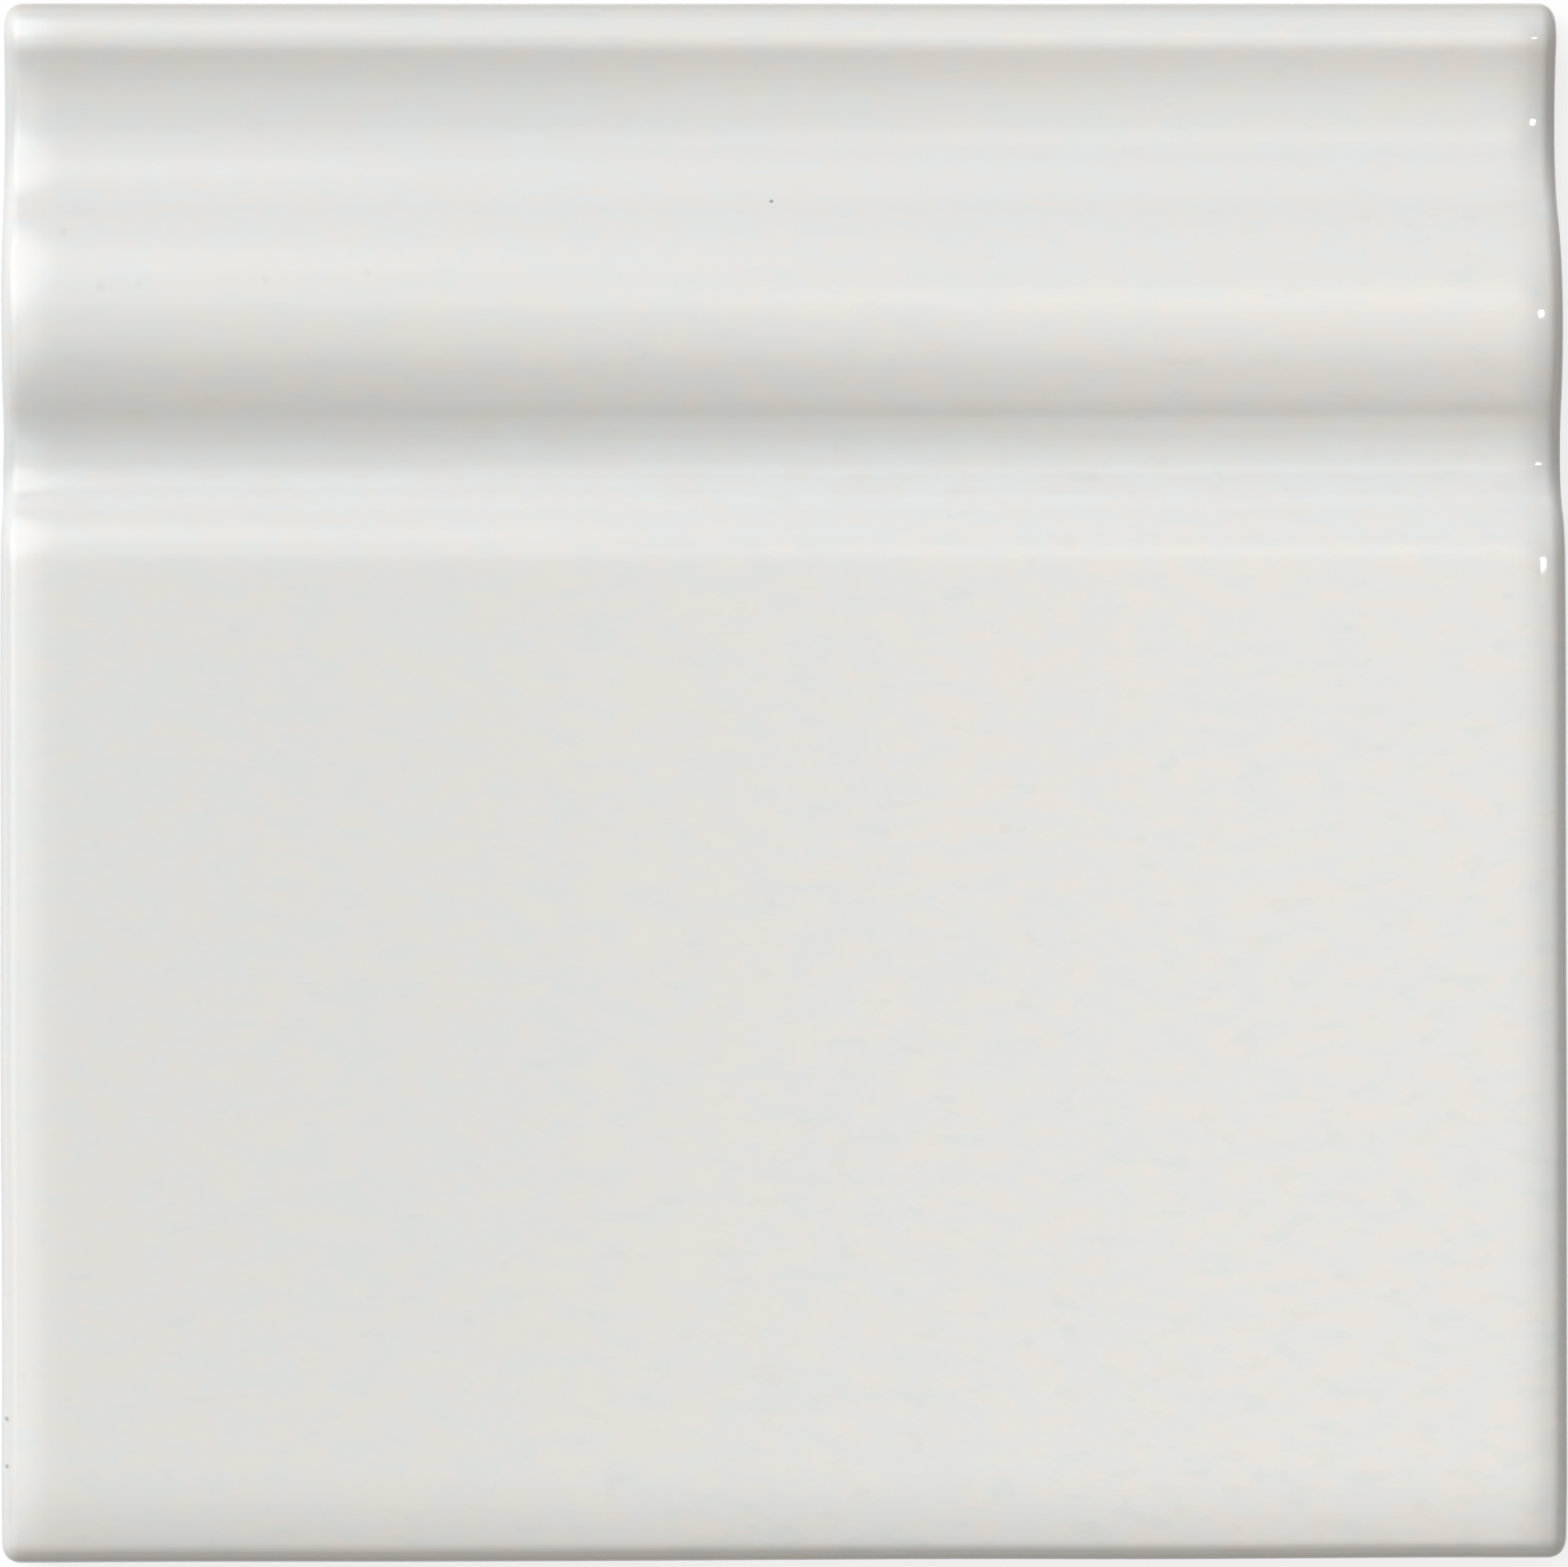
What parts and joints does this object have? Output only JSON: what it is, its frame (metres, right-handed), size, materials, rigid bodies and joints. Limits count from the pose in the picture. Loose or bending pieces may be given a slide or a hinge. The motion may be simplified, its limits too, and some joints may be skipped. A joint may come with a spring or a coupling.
{
  "type": "skirting tile",
  "caption": "Square glazed ceramic tile for the foot of a wall, with a lip, cove, roll and groove moulded along its top edge and a keyed back for adhesive.",
  "frame": {"origin": "middle of the back, on the plane that the tile lies on", "axes": "+X along the wall, +Y up the wall towards the moulded top edge, +Z out of the face"},
  "size_m": [0.152, 0.152, 0.015],
  "materials": {
    "white_glaze": "gloss white glaze on the face and edges, bare fired body on the back"
  },
  "bodies": {
    "root": {"skirting_tile": "white_glaze"}
  },
  "joints": []
}
